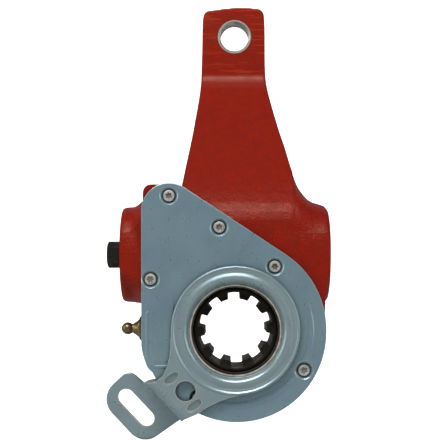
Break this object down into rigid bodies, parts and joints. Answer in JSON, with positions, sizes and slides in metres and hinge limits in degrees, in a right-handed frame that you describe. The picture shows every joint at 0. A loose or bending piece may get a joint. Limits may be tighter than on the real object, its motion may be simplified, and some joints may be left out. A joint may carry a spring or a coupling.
{
  "type": "brake slack adjuster",
  "caption": "Cranked brake lever with a splined worm wheel, a worm adjuster in a barrel, a control arm with a slotted foot and a grease nipple.",
  "frame": {"origin": "on the camshaft spline's axis, in the plane of the worm axis", "axes": "+X along the worm shaft away from its hexagon, +Y along the camshaft away from the cover, +Z from the spline up the lever"},
  "size_m": [0.1147, 0.0919, 0.24],
  "materials": {
    "red_paint": "semi-gloss red paint on a rough casting",
    "blue_zinc": "bluish bright zinc plating on pressed steel",
    "black_steel": "dark oiled steel",
    "bright_steel": "plain machined steel",
    "yellow_zinc": "yellow zinc plating",
    "black_rubber": "matt black seal rubber"
  },
  "bodies": {
    "housing": {"lever_housing": "red_paint", "clevis_bush": "bright_steel", "cover_plate": "blue_zinc", "cover_gasket": "black_rubber", "screw_top": "bright_steel", "screw_upper": "bright_steel", "screw_right": "bright_steel", "screw_left": "bright_steel", "screw_lower_right": "bright_steel", "screw_lower_left": "bright_steel", "worm_bearing": "bright_steel", "spring_seat": "bright_steel", "pressure_spring": "bright_steel", "spring_end_cover": "red_paint", "worm_cap": "blue_zinc", "cap_lock_pin": "bright_steel", "shaft_seal": "black_rubber", "back_seal": "black_rubber", "front_seal": "black_rubber", "thrust_ring": "bright_steel", "grease_nipple": "yellow_zinc", "rack_spring": "bright_steel"},
    "wheel": {"worm_wheel": "black_steel"},
    "worm": {"worm_shaft": "black_steel", "clutch_ring": "bright_steel"},
    "control": {"control_arm": "blue_zinc", "control_hub": "blue_zinc", "control_disc": "bright_steel"},
    "rack": {"rack": "bright_steel"},
    "clutch": {"clutch_gear": "bright_steel", "one_way_spring": "bright_steel"}
  },
  "joints": [
    {"name": "wheel_turn", "type": "hinge", "parent": "housing", "child": "wheel", "pos_m": [0, 0, 0], "axis": [0, 1, 0], "continuous": true},
    {"name": "worm_turn", "type": "hinge", "parent": "housing", "child": "worm", "pos_m": [0, 0, 0.0385], "axis": [1, 0, 0], "continuous": true},
    {"name": "control_turn", "type": "hinge", "parent": "housing", "child": "control", "pos_m": [0, 0, 0], "axis": [0, 1, 0], "range_deg": [-14, 6]},
    {"name": "rack_slide", "type": "slide", "parent": "housing", "child": "rack", "axis": [0, 0, 1], "range_m": [-0.0074, 0.0033], "deforming": ["rack_spring"]},
    {"name": "clutch_turn", "type": "hinge", "parent": "housing", "child": "clutch", "pos_m": [0, 0, 0.0385], "axis": [1, 0, 0], "range_deg": [-15.5, 35.5]}
  ],
  "couplings": [
    {"joint": "worm_turn", "follows": "wheel_turn", "ratio": -23},
    {"joint": "rack_slide", "follows": "control_turn", "m_per_rad": 0.0296},
    {"joint": "clutch_turn", "follows": "control_turn", "ratio": -2.4667}
  ]
}
